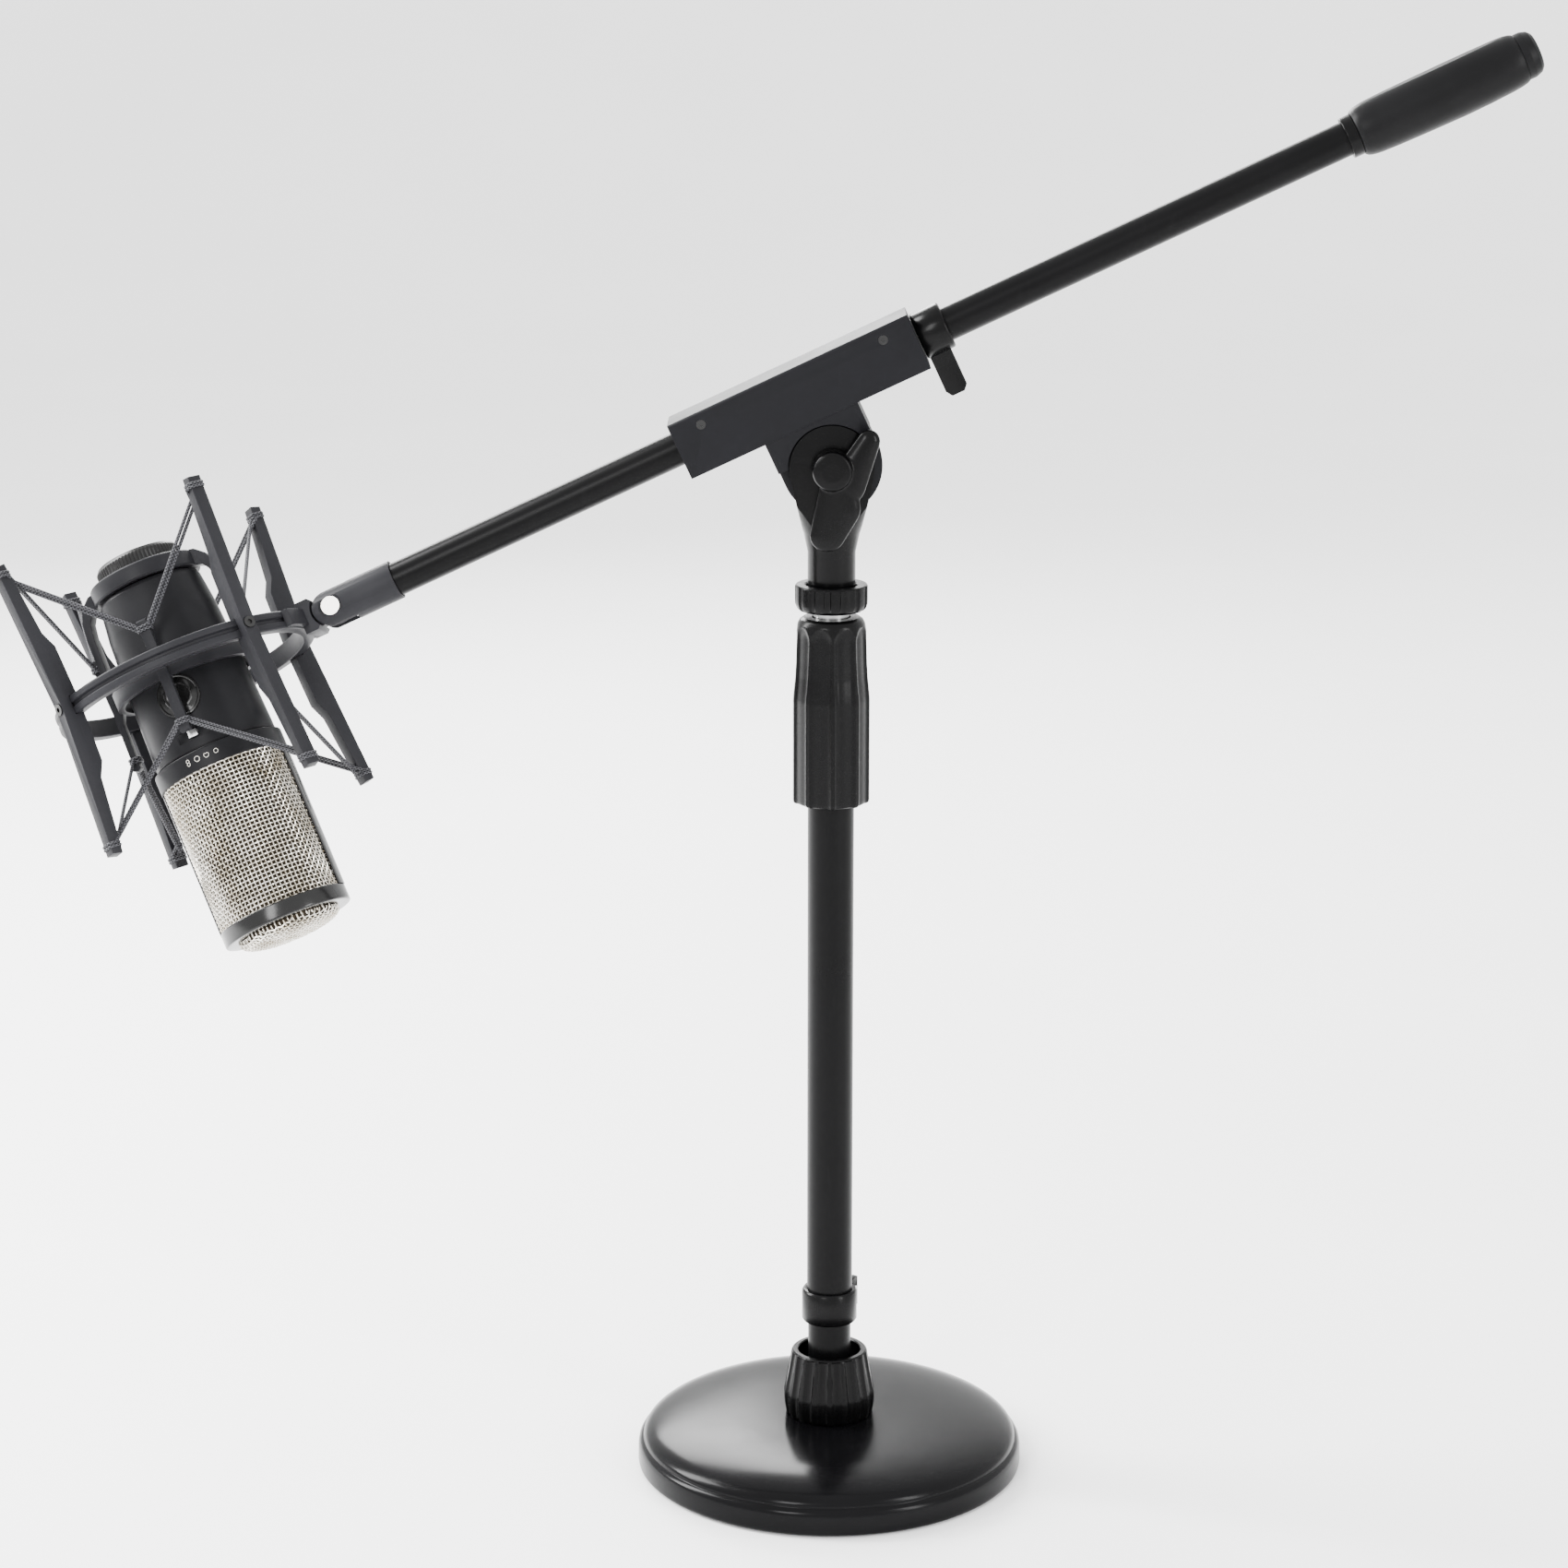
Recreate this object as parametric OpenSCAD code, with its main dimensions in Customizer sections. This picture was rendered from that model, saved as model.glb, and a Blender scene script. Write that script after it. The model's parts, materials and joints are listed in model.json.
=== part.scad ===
// Low boom microphone stand: weighted round base, telescopic mast with a twist
// clutch, tilting clamp block, sliding boom, elastic shock mount and a large
// side-address microphone hanging head down.
// The mast stands on the Z axis, the boom lies in the XZ plane, and the
// microphone is on the -X side.

/* [Base] */
// Outer diameter of the cast base
base_d = 188; // [170:1:230]
// Height of the base's upright rim
base_rim_h = 13.9; // [10:0.1:18]
// Height of the top of the dome
base_h = 25.5; // [22:0.1:30]

/* [Mast] */
// Outer diameter of the outer tube
mast_d = 22; // [21:0.5:24]
// Outer diameter of the inner tube
inner_d = 17; // [16:0.5:17]
// Wall of each steel tube
tube_wall = 1.5; // [1:0.1:1.6]
// Height of the twist clutch's lower edge
clutch_z = 334.7; // [300:0.1:360]
// Length of the clutch sleeve
clutch_h = 89.3; // [80:0.1:100]
// Greatest diameter of the clutch sleeve
clutch_d = 36.5; // [35:0.1:40]
// Flutes round the clutch sleeve
clutch_flutes = 9; // [6:1:12]

/* [Swivel head] */
// Height of the tilt axis
pivot_z = 496; // [480:1:520]
// Radius of the fork's round cheeks
cheek_r = 19.7; // [18:0.1:21]
// Half width of the T plate between the cheeks
tongue_r = 23.4; // [22:0.1:25]
// Angle of the boom above level, on the grip's side
boom_tilt = 25; // [0:1:45]
// Distance from the tilt axis to the boom's centre line
boom_rise = 36.6; // [34:0.1:40]

/* [Boom] */
// Outer diameter of the boom tube
boom_d = 16; // [15:0.5:16]
// Length of the clamp block
block_l = 121; // [100:1:140]
// Height of the clamp block
block_h = 27; // [25:0.5:30]
// Depth of the clamp block
block_w = 31; // [28:0.5:34]
// Greatest diameter of the rubber grip
grip_d = 26.8; // [24:0.1:30]

/* [Shock mount] */
// Distance from the tilt axis to the ring's centre, along the boom
ring_x = -317.7; // [-360:0.1:-300]
// Outer radius of the ring
ring_r = 63.5; // [62:0.1:66]
// Turn of the mount about the boom, grille end towards the front
mic_roll = 20; // [0:1:45]
// Half length of the bent bars
bar_reach = 73; // [65:1:80]

/* [Microphone] */
// Outer radius of the wire mesh
mesh_r = 30.5; // [30:0.1:31]
// Length of the wire mesh
mesh_l = 71; // [60:1:75]

/* [Hidden] */
$fn = 72;
HULL_FN = 32;

play = 0.08;          // running clearance of a shaft in its bore
seat = 0.05;          // clearance of two pieces fixed to each other
gap = 0.35;           // air between faces of pieces that move apart
far = 400;            // longer than any cut needs to be

base_r = base_d / 2;
dome_r = base_r - 2.7;
pad_r = 86;
pad_h = 3;
hub_r = 22;
bolt_r = 6;
mast_r = mast_d / 2;
mast_bore = mast_r - tube_wall - 0.1;
inner_r = inner_d / 2;
foot_top = 84;
tube_top = 400;
clutch_top = clutch_z + clutch_h;
clutch_r = clutch_d / 2;
stud_r = 7.9;
ring_z = 426.8;
neck_z = 434.6;
neck_r = 11.25;
cheek_in = 6.3;
cheek_out = 12.3;
tongue_t = 11;
pin_r = 4;
boom_r = boom_d / 2;
block_x = block_l / 2;
boom_front = -214;
boom_back = 362;
grip_x = 278;
sleeve_r = 9.35;
hinge_x = 78.5;       // hinge pin, from the ring's centre
ring_in = ring_r - 6;
ring_h = 9;
neck_top = 62.6;
cradle_r = 35;
shoulder_z = 45.8;
body_end = -39;
collar_z = -40;
mesh_z = -49;
band_z = mesh_z - mesh_l;
dome_z = band_z - 7.5;
xlr_r = 8.1;
mouth_r = 8.5;        // lead-in of the XLR socket, above its pins
mouth_z = 59.4;

function bar_angles() = [-135, -45, 135, 45];   // front left, front right, rear left, rear right

// ---- places -------------------------------------------------------------
module at_pivot() translate([0, 0, pivot_z]) children();
module at_boom() at_pivot() rotate([0, -boom_tilt, 0]) translate([0, 0, boom_rise]) children();
module along_boom(x) at_boom() translate([x, 0, 0]) rotate([0, 90, 0]) children();
module at_mount() at_boom() translate([ring_x, 0, 0]) rotate([-mic_roll, 0, 0]) children();
module round_about(n, start = 0) for (i = [0:n - 1]) rotate([0, 0, start + i * 360 / n]) children();
// A flat outline drawn in X and Z, t thick and centred on Y
module plate(t) rotate([90, 0, 0]) linear_extrude(t, center = true) children();
// A cylinder along -Y that starts at y
module to_front(y, r, l) translate([0, y, 0]) rotate([90, 0, 0]) cylinder(r = r, h = l);
module spun(points) rotate_extrude() polygon(points);
module pipe(r, bore, h) difference() {
    cylinder(r = r, h = h);
    translate([0, 0, -1]) cylinder(r = bore, h = h + 2);
}

// ---- base ---------------------------------------------------------------
module base_pad() color("#1b1b1d") cylinder(r = pad_r, h = pad_h);

module base_disc() color("#202024") spun(concat(
    [[bolt_r + 0.4, 11], [12, 11], [12, pad_h], [pad_r + 0.3, pad_h], [pad_r + 0.3, 1.2],
     [base_r - 1, 1.2], [base_r, 2.2], [base_r, base_rim_h - 2.9], [base_r - 1.6, base_rim_h],
     [base_r - 2.2, base_rim_h]],
    [for (a = [0:10:80]) [dome_r * pow(cos(a), 0.4),
                          base_rim_h + 0.6 + (base_h - base_rim_h - 0.6) * sin(a)]],
    [[hub_r, base_h], [bolt_r + 0.4, base_h]]));

module base_bolt() color("#8d8f93") difference() {
    union() {
        translate([0, 0, 4.5]) cylinder(r = 9.5, h = 6.5);
        translate([0, 0, 11]) cylinder(r = bolt_r - 2 * seat, h = 37);
    }
    translate([0, 0, 4]) cylinder(r = 5, h = 4.5, $fn = 6);
}

module mast_foot() color("#1d1d20") spun(
    [[bolt_r, base_h], [13, base_h], [13, 33.4], [12.4, 34], [10.4, 34], [10.4, 76], [mast_r, 76],
     [mast_r, foot_top], [mast_bore - 2 * seat, foot_top], [mast_bore - 2 * seat, 110],
     [mast_bore - 1, 112], [0, 112], [0, 50], [bolt_r, 50]]);

module outer_tube() color("#1a1a1d") translate([0, 0, foot_top])
    pipe(mast_r, mast_bore, tube_top - foot_top);

// Clip ring over the joint of foot and tube, closed by a screw at the back
module foot_collar() color("#232327") difference() {
    union() {
        spun([[mast_r + seat, 74], [12.8, 74], [13.4, 75], [13.4, 88.8], [12.6, 90], [mast_r + seat, 90]]);
        rotate([0, 0, 50]) translate([12, -3.5, 77]) cube([5.5, 7, 14.5]);
    }
    cylinder(r = mast_r + seat, h = far);
    rotate([0, 0, 50]) translate([10, -0.6, 70]) cube([10, 1.2, 30]);
    rotate([0, 0, 50]) translate([15.3, 0, 86]) to_front(5, 1.3, 10);
}

module collar_screw() color("#8d8f93") rotate([0, 0, 50]) translate([15.3, 0, 86]) {
    to_front(4.9, 1.25, 9.2);
    to_front(6, 2, 2.5 - seat);
}

// Ribbed cone nut that clamps the foot's flange to the base
module base_nut() color("#1c1c1f") difference() {
    spun([[13 + gap, base_h + 0.4], [20.6, base_h + 0.4], [21.6, 29], [22.25, 33], [22.25, 37],
          [18.7, 56.8], [18.35, 57.8], [17.6, 58.4], [15.6, 58.4], [15.2, 58], [15.2, 39],
          [13 + gap, 37]]);
    round_about(18) translate([23.3, 0, 35]) rotate([0, -10.2, 0]) translate([0, 0, -4.5])
        cylinder(r = 1.7, h = 40, $fn = 24);
}

// ---- twist clutch -------------------------------------------------------
module clutch_core() color("#3a3a3e") spun(
    [[mast_r + seat, clutch_z + 6], [13.1, clutch_z + 6], [13.5, clutch_z + 7], [13.5, 402],
     [mast_bore, 402], [mast_bore, tube_top], [mast_r + seat, tube_top]]);

module clutch_collet() color("#c9c6bd") difference() {
    spun([[inner_r + play, 402.2], [12.6, 402.2], [12.6, 408], [10.6, 421], [inner_r + play, 421]]);
    for (a = [0, 90]) rotate([0, 0, a]) translate([-20, -0.6, 407]) cube([40, 1.2, 20]);
}

module clutch_sleeve() color("#1c1c1f") difference() {
    spun([[13.85, clutch_z], [clutch_r - 1, clutch_z], [clutch_r, clutch_z + 1.3],
          [clutch_r, 386], [clutch_r - 1.1, 398], [clutch_r - 1.8, 418], [clutch_r - 2.5, 421.6],
          [clutch_r - 4.6, clutch_top], [9.2, clutch_top], [9.2, 421.4], [10.95, 421.4],
          [12.95, 408], [12.95, 403], [13.85, 403]]);
    round_about(clutch_flutes, 10) translate([clutch_r + 8.7, 0, clutch_z - 1]) cylinder(r = 10, h = 80);
}

// ---- inner mast ---------------------------------------------------------
module inner_tube() color("#9a9ca0") translate([0, 0, 118])
    pipe(inner_r, inner_r - tube_wall, 424.6 - 118);

module inner_bush() color("#d8d6cf") translate([0, 0, 119]) pipe(mast_bore - play, inner_r + seat, 14);

module mast_stud() color("#8d8f93") {
    spun([[0, 404], [inner_r - tube_wall - seat, 404], [inner_r - tube_wall - seat, 424.6],
          [inner_r, 424.6], [inner_r, 426.2], [stud_r, 426.2], [stud_r, 451], [stud_r - 1, 452], [0, 452]]);
}

module lock_ring() color("#1c1c1f") difference() {
    spun([[stud_r + gap, ring_z], [13.4, ring_z], [15.6, ring_z + 0.9], [17, ring_z + 3.4],
          [17.1, ring_z + 5], [17.1, 438.8], [16.4, 439.5], [12.7, 439.5], [12.2, 439], [12.2, 434],
          [stud_r + gap, 434]]);
    round_about(14) translate([18.1, 0, ring_z - 1]) cylinder(r = 1.8, h = 20, $fn = 24);
}

// ---- swivel head --------------------------------------------------------
module fork_outline() {
    translate([0, pivot_z]) circle(r = cheek_r);
    polygon([[-neck_r, 455], [neck_r, 455], [cheek_r - 0.6, pivot_z - 5], [0.6 - cheek_r, pivot_z - 5]]);
}

module head_fork() color("#1b1b1e") difference() {
    union() {
        translate([0, 0, neck_z]) cylinder(r = neck_r, h = 24);
        intersection() {
            plate(2 * cheek_out) fork_outline();
            spun([[0, 455], [neck_r, 455], [13.2, 464], [18, 474], [24, 484], [24, 530], [0, 530]]);
        }
    }
    translate([0, 0, neck_z - 1]) cylinder(r = 9.5 + seat, h = 20.6);
    translate([-30, -cheek_in, pivot_z - tongue_r - 0.8]) cube([60, 2 * cheek_in, 60]);
    at_pivot() to_front(30, pin_r + seat, 60);
}

module head_insert() color("#b08d4f") translate([0, 0, neck_z + 0.4])
    pipe(9.5, stud_r + play, 19.2);

module pivot_bolt() color("#8d8f93") at_pivot() {
    to_front(cheek_out, pin_r, cheek_out + 22.6);
    translate([0, cheek_out, 0]) rotate([-90, 0, 0]) cylinder(r = 7.5, h = 5, $fn = 6);
}

module friction_washers() color("#5b5b5f") at_pivot() for (side = [-1, 1])
    translate([0, side * (cheek_in - 0.35), 0]) rotate([90, 0, 0]) difference() {
        cylinder(r = 14, h = 0.7, center = true);
        cylinder(r = pin_r + seat, h = 2, center = true);
    }

// Wing knob: round hub, long wing hanging down, short wing up to the right
module wing_knob() color("#1c1c1f") at_pivot() difference() {
    union() {
        to_front(-cheek_out - gap, 9.5, 12.6);
        translate([0, -19.2, 0]) plate(6) hull() {
            circle(r = 9.4, $fn = HULL_FN);
            translate([-3.4, -31]) circle(r = 7, $fn = HULL_FN);
        }
        translate([0, -19.2, 0]) plate(6) hull() {
            circle(r = 9, $fn = HULL_FN);
            translate([17, 14]) circle(r = 5, $fn = HULL_FN);
        }
    }
    to_front(-10, 6.5, 12.8);
}

module knob_nut() color("#b08d4f") at_pivot() difference() {
    to_front(-cheek_out - gap, 6.5 - seat, 10.1);
    to_front(0, pin_r + play, 30);
}

// ---- clamp block --------------------------------------------------------
module clamp_block() color("#212125") difference() {
    union() {
        at_boom() difference() {
            translate([-block_x, -block_w / 2, -block_h / 2]) cube([block_l, block_w, block_h]);
            for (side = [-1, 1]) translate([0, side * block_w / 2, block_h / 2]) rotate([45, 0, 0])
                cube([far, 1.1, 1.1], center = true);
        }
        at_boom() plate(tongue_t) {
            translate([0, -boom_rise]) circle(r = tongue_r);
            translate([-tongue_r, -boom_rise]) square([2 * tongue_r, boom_rise - block_h / 2 + 1]);
        }
        // Shoulders of the T, flush with the block and clear of the round cheeks
        at_boom() difference() {
            plate(block_w - 3) translate([-tongue_r, -boom_rise])
                square([2 * tongue_r, boom_rise - block_h / 2 + 1]);
            translate([0, 0, -boom_rise]) rotate([90, 0, 0])
                cylinder(r = cheek_r + 0.7, h = far, center = true);
            translate([-40, -20, -boom_rise - 1]) cube([80, 40, 9]);
        }
    }
    along_boom(-block_x - 1) cylinder(r = 9.9, h = block_l + 2);
    at_pivot() to_front(30, pin_r + play, 60);
    block_screw_places() translate([0, 0, 4]) cylinder(r = 2.25, h = 10, $fn = 32);
    block_screw_places() translate([0, 0, -2]) cylinder(r = 1.3, h = 10, $fn = 32);
}

module block_screw_places() at_boom() for (x = [-46, 46])
    translate([x, -block_w / 2 + 5, 7.5]) rotate([90, 0, 0]) children();

module block_screws() color("#77797d") block_screw_places() difference() {
    union() {
        translate([0, 0, 4 + seat]) cylinder(r = 2.2, h = 0.7, $fn = 32);
        translate([0, 0, -1.5]) cylinder(r = 1.25, h = 6, $fn = 32);
    }
    translate([0, 0, 4.2]) cylinder(r = 1.1, h = 2, $fn = 6);
}

module block_liners() color("#2c2c30") {
    along_boom(-block_x) pipe(9.9 - seat, boom_r + play, 22);
    along_boom(block_x - 42) pipe(9.9 - seat, boom_r + play, 22);
}

// Split collet whose nose carries the clamp lever's ring
module boom_collet() color("#2c2c30") difference() {
    along_boom(block_x - 18) union() {
        cylinder(r = 9.9 - seat, h = 18);
        cylinder(r = 9.3, h = 31.5);
    }
    along_boom(0) cylinder(r = boom_r + play, h = far);
    along_boom(block_x + 1) translate([0, 0, 15.5]) for (a = [0, 90]) rotate([0, 0, a])
        cube([30, 1, 31], center = true);
}

module clamp_lever() color("#1c1c1f") difference() {
    union() {
        along_boom(block_x + 0.4) spun([[9.3 + gap, 0], [10.6, 0], [11.1, 0.6], [11.1, 13.4], [10.4, 14.2],
                                        [9.3 + gap, 14.2]]);
        at_boom() translate([block_x + 6.4, 0, 0]) plate(6) polygon(
            [[-5, -9.8], [5.4, -9.8], [5.4, -28.5], [3.2, -31], [-3, -31], [-5, -28]]);
    }
    along_boom(0) cylinder(r = 9.3 + gap, h = far);
}

// ---- boom ---------------------------------------------------------------
module boom_tube() color("#1a1a1d") along_boom(boom_front)
    pipe(boom_r, boom_r - tube_wall, boom_back - boom_front);

module boom_stud() color("#8d8f93") along_boom(boom_front - 17) union() {
    cylinder(r = stud_r, h = 17);
    cylinder(r = boom_r - tube_wall - seat, h = 36);
}

module boom_grip() color("#161618") along_boom(grip_x) difference() {
    spun([[boom_r + seat, 2], [10.2, 2], [11.6, 4.4], [12.3, 8], [12.75, 18], [13.1, 32], [grip_d / 2, 50],
          [13.2, 62], [12.7, 74], [11.9, 80], [11.3, 82], [boom_r + seat, 82]]);
    translate([-40 - 12.3, 0, 0]) cube([80, 80, 400], center = true);
}

module grip_collar() color("#2a2a2e") along_boom(grip_x - 3.4) pipe(9.7, boom_r + seat, 5.3);

module grip_cap() color("#1a1a1c") along_boom(grip_x + 82.1) spun(
    [[boom_r + seat, 0], [10.9, 0], [10.9, 3.4], [9.9, 6.5], [8, 8.2], [0, 8.6], [0, 2],
     [boom_r + seat, 2]]);

// ---- microphone adapter -------------------------------------------------
module adapter_sleeve() color("#26262a") difference() {
    intersection() {
        at_mount() translate([hinge_x - 10, 0, 0]) rotate([0, 90, 0]) cylinder(r = sleeve_r, h = 42);
        at_mount() plate(40) {
            translate([hinge_x, 0]) circle(r = 9);
            translate([hinge_x, -9]) square([8, 18]);
            translate([hinge_x + 6, -10]) square([26, 20]);
        }
    }
    at_mount() translate([hinge_x + 6, 0, 0]) rotate([0, 90, 0]) cylinder(r = stud_r + play, h = 60);
    at_mount() translate([hinge_x + 25, 0, 0]) rotate([0, 90, 0]) cylinder(r = boom_r + gap, h = 60);
    at_mount() translate([hinge_x - 20, -3.6, -20]) cube([29.5, 7.2, 40]);
    at_mount() translate([hinge_x, 0, 0]) to_front(20, 4.4 + seat, 40);
    at_mount() for (side = [-1, 1]) translate([hinge_x, side * 13.4, 0]) rotate([90, 0, 0])
        cylinder(r = 5.6, h = 10, center = true);
}

module hinge_pin() color("#c9cacc") at_mount() translate([hinge_x, 0, 0]) to_front(9.1, 4.4, 18.2);

// ---- shock mount frame --------------------------------------------------
module yoke() color("#46464c") at_mount() difference() {
    union() {
        plate(6.6) {
            translate([hinge_x, 0]) circle(r = 7.6);
            translate([ring_r + 5, -6]) square([hinge_x - ring_r - 5, 12]);
        }
        plate(18) polygon([[ring_r - 1, -7.8], [ring_r + 5.6, -7.8], [ring_r + 8.4, -5],
                           [ring_r + 8.4, 5], [ring_r + 5.6, 7.8], [ring_r - 1, 7.8]]);
        intersection() {
            spun([[ring_r - 1, -4], [ring_r + 3, -4], [ring_r + 3, 4], [ring_r - 1, 4]]);
            translate([ring_r - 10, -24, -10]) cube([20, 48, 20]);
        }
    }
    cylinder(r = ring_r + seat, h = 40, center = true);
    translate([hinge_x, 0, 0]) to_front(20, 4.4 + play, 40);
    for (side = [-1, 1]) translate([hinge_x, side * 13.2, 0]) rotate([90, 0, 0])
        cylinder(r = 10, h = 19.2, center = true);
}

module outer_ring() color("#46464c") at_mount() difference() {
    spun([[ring_in, -ring_h / 2 + 0.8], [ring_in + 0.8, -ring_h / 2], [ring_r - 1.4, -ring_h / 2],
          [ring_r, -ring_h / 2 + 1.4], [ring_r, -1.2], [ring_r - 1.6, -0.5], [ring_r - 1.6, 0.9],
          [ring_r, 1.6], [ring_r, ring_h / 2 - 1.4], [ring_r - 1.4, ring_h / 2],
          [ring_in + 0.8, ring_h / 2], [ring_in, ring_h / 2 - 0.8]]);
    bar_places() rotate([0, 90, 0]) translate([0, 0, ring_in + 1.5]) cylinder(r = 1.7, h = 20, $fn = 32);
}

module bar_places() for (a = bar_angles()) rotate([0, 0, a]) children();

module bar(angle) at_mount() rotate([0, 0, angle]) difference() {
    plate(6.4) bar_outline();
    rotate([0, 90, 0]) translate([0, 0, 50]) cylinder(r = 1.7, h = 30, $fn = 32);
    rotate([0, 90, 0]) translate([0, 0, 68]) cylinder(r = 2.8, h = 30, $fn = 32);
}

// Bent bar gripping the ring from above and below
module bar_outline() {
    half = [[59.2, 4.6], [60.1, 29], [63.9, 36.5], [67.6, bar_reach - 6], [68.4, bar_reach],
            [73.4, bar_reach - 0.8], [69, 0]];
    low = [for (i = [5:-1:0]) [half[i][0], -half[i][1]]];
    polygon(concat([[ring_r + 0.1, 4.6]], half, low, [[ring_r + 0.1, -4.6]]));
}

module front_left_bar() color("#46464c") bar(bar_angles()[0]);
module front_right_bar() color("#46464c") bar(bar_angles()[1]);
module rear_left_bar() color("#46464c") bar(bar_angles()[2]);
module rear_right_bar() color("#46464c") bar(bar_angles()[3]);

module bar_screws() color("#2a2a2d") at_mount() bar_places() rotate([0, 90, 0]) difference() {
    union() {
        translate([0, 0, 59.4]) cylinder(r = 1.6, h = 10, $fn = 32);
        translate([0, 0, 68 + seat]) cylinder(r = 2.7, h = 1.6, $fn = 32);
    }
    translate([0, 0, 68.8]) cylinder(r = 1.3, h = 2, $fn = 6);
}

// ---- elastic cradle -----------------------------------------------------
hook_top = 25;
hook_low = -32;

module hook_post() plate(5) polygon(
    [[cradle_r - 1, 4], [cradle_r + 0.6, 8], [cradle_r + 1.2, hook_top - 4], [cradle_r + 0.6, hook_top - 1],
     [cradle_r + 2.6, hook_top], [cradle_r + 5, hook_top - 1.2], [cradle_r + 4, hook_top - 5],
     [cradle_r + 3.4, 0], [cradle_r + 4, hook_low + 6], [cradle_r + 5.4, hook_low + 1.2],
     [cradle_r + 3, hook_low], [cradle_r + 1, hook_low + 1], [cradle_r + 1.2, hook_low + 5],
     [cradle_r + 0.6, -8], [cradle_r - 1, -4]]);

module cradle_arm() plate(8) polygon(
    [[25, 54.2], [28, 53.6], [32.6, 49.4], [35.2, 43], [36.2, 34], [cradle_r + 1.4, 2], [cradle_r - 1.6, 2],
     [32.6, 34], [31.4, 41.6], [29.2, 45.2], [26, 46.4], [22, 46.4], [22, 54.2]]);

module cradle() color("#3c3c42") at_mount() difference() {
    union() {
        spun([[17.35, 46.2], [25.6, 46.2], [26.35, 47], [26.35, 53.4], [25.6, 54.2], [17.35, 54.2]]);
        spun([[31.7, -4], [cradle_r, -4], [cradle_r, 4], [31.7, 4]]);
        for (a = [0, 180]) rotate([0, 0, a]) cradle_arm();
        for (a = [0:90:270]) rotate([0, 0, a]) hook_post();
    }
    cylinder(r = 17.35, h = 100);
}

// One run of elastic between a bar's end and a hook, seen from the ring's centre
module strand(bar_a, hook_a, bar_z, hook_z) {
    from = [67 * cos(bar_a), 67 * sin(bar_a), bar_z];
    to = [(cradle_r + 5) * cos(hook_a), (cradle_r + 5) * sin(hook_a), hook_z];
    run = to - from;
    len = norm(run);
    translate(from) rotate([0, acos(run[2] / len), atan2(run[1], run[0])])
        translate([0, 0, 2]) cylinder(r = 2, h = len - 6.5, $fn = 16);
}

module elastic(bar_z, hook_z) at_mount() for (a = bar_angles(), side = [-45, 45])
    strand(a, a + side, bar_z, hook_z);

module upper_elastic() color("#2b2b2f") elastic(bar_reach - 4, hook_top - 4);
module lower_elastic() color("#2b2b2f") elastic(4 - bar_reach, hook_low + 5);

module clamp_nut() color("#222226") at_mount() difference() {
    spun([[17.35, 54.5], [20.5, 54.5], [20.5, 60], [19.2, 61.9], [17.35, 61.9]]);
    round_about(40) translate([20.9, 0, 54]) cylinder(r = 0.75, h = 10, $fn = 16);
}

// ---- microphone ---------------------------------------------------------
module mic_body() color("#2f2f34") at_mount() difference() {
    spun([[12, neck_top], [16.2, neck_top], [17, 61.8], [17, shoulder_z], [22.6, shoulder_z],
          [24.2, shoulder_z - 0.6], [25, 43.6], [26.8, 28], [28.3, 0], [29.4, -34], [29.5, body_end],
          [27.6, body_end], [26.4, 0], [24.8, 28], [23.2, 41.5], [22, 42.6], [12, 42.6]]);
    translate([-8, -40, -34.5]) cube([16, 12.1, 5]);
}

module mic_collar() color("#2f2f34") at_mount() spun(
    [[26.6, mesh_z], [31.2, mesh_z], [31.5, mesh_z + 0.8], [31.5, collar_z - 0.8], [30.9, collar_z],
     [29, collar_z], [29, body_end - seat], [27.2, body_end - seat], [27.2, body_end + 3],
     [26.6, body_end + 3]]);

module side_rails() color("#18181a") at_mount() intersection() {
    translate([0, 0, band_z]) pipe(31.4, mesh_r + seat, mesh_l);
    cube([80, 6, far], center = true);
}

module grille_mesh() color("#b9b4a8") at_mount() translate([0, 0, band_z])
    pipe(mesh_r, mesh_r - 0.7, mesh_l);

module grille_band() color("#1a1a1d") at_mount() spun(
    [[24, dome_z], [30.2, dome_z], [31, dome_z + 0.9], [31, band_z - 0.9], [30.6, band_z], [24, band_z]]);

module grille_dome() color("#b9b4a8") at_mount() spun(concat(
    [for (a = [0:15:90]) [25.4 * pow(cos(a), 0.6), dome_z - 6.4 * sin(a)]],
    [for (a = [90:-15:0]) [24.6 * pow(cos(a), 0.6), dome_z - 5.7 * sin(a)]]));

module capsule() color("#c8a85a") at_mount() translate([0, 0, mesh_z - 38]) {
    to_front(5, 17, 10);
}

module capsule_post() color("#4a4a4e") at_mount() {
    translate([-7, -4, mesh_z - 21]) cube([14, 8, 21]);
    translate([0, 0, mesh_z]) cylinder(r = 26.4, h = 3);
}

module circuit_board() color("#2f6b3c") at_mount() translate([-20, 2, -36]) cube([40, 1.6, 66]);

module xlr_insert() color("#55565a") at_mount() difference() {
    translate([0, 0, 43]) cylinder(r = 12 - seat, h = neck_top - 43);
    translate([0, 0, 47.6]) cylinder(r = xlr_r, h = 20);
    translate([0, 0, mouth_z]) cylinder(r = mouth_r, h = 20);
    xlr_pin_places() cylinder(r = 1.2 + seat, h = 20, center = true, $fn = 32);
}

module xlr_pin_places() for (a = [30, 150, 270]) rotate([0, 0, a]) translate([4.2, 0, 47.6]) children();

module xlr_pins() color("#c9cacc") at_mount() xlr_pin_places() translate([0, 0, -7])
    cylinder(r = 1.2, h = 18, $fn = 32);

// Plain round plate on the front of the body
module badge() color("#232326") at_mount() intersection() {
    translate([0, 0, -13]) to_front(-20, 10.4, 20);
    difference() {
        translate([0, 0, -34]) cylinder(r1 = 29.8, r2 = 28.7, h = 34);
        translate([0, 0, -34]) cylinder(r1 = 29.4, r2 = 28.3, h = 34);
    }
}

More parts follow.
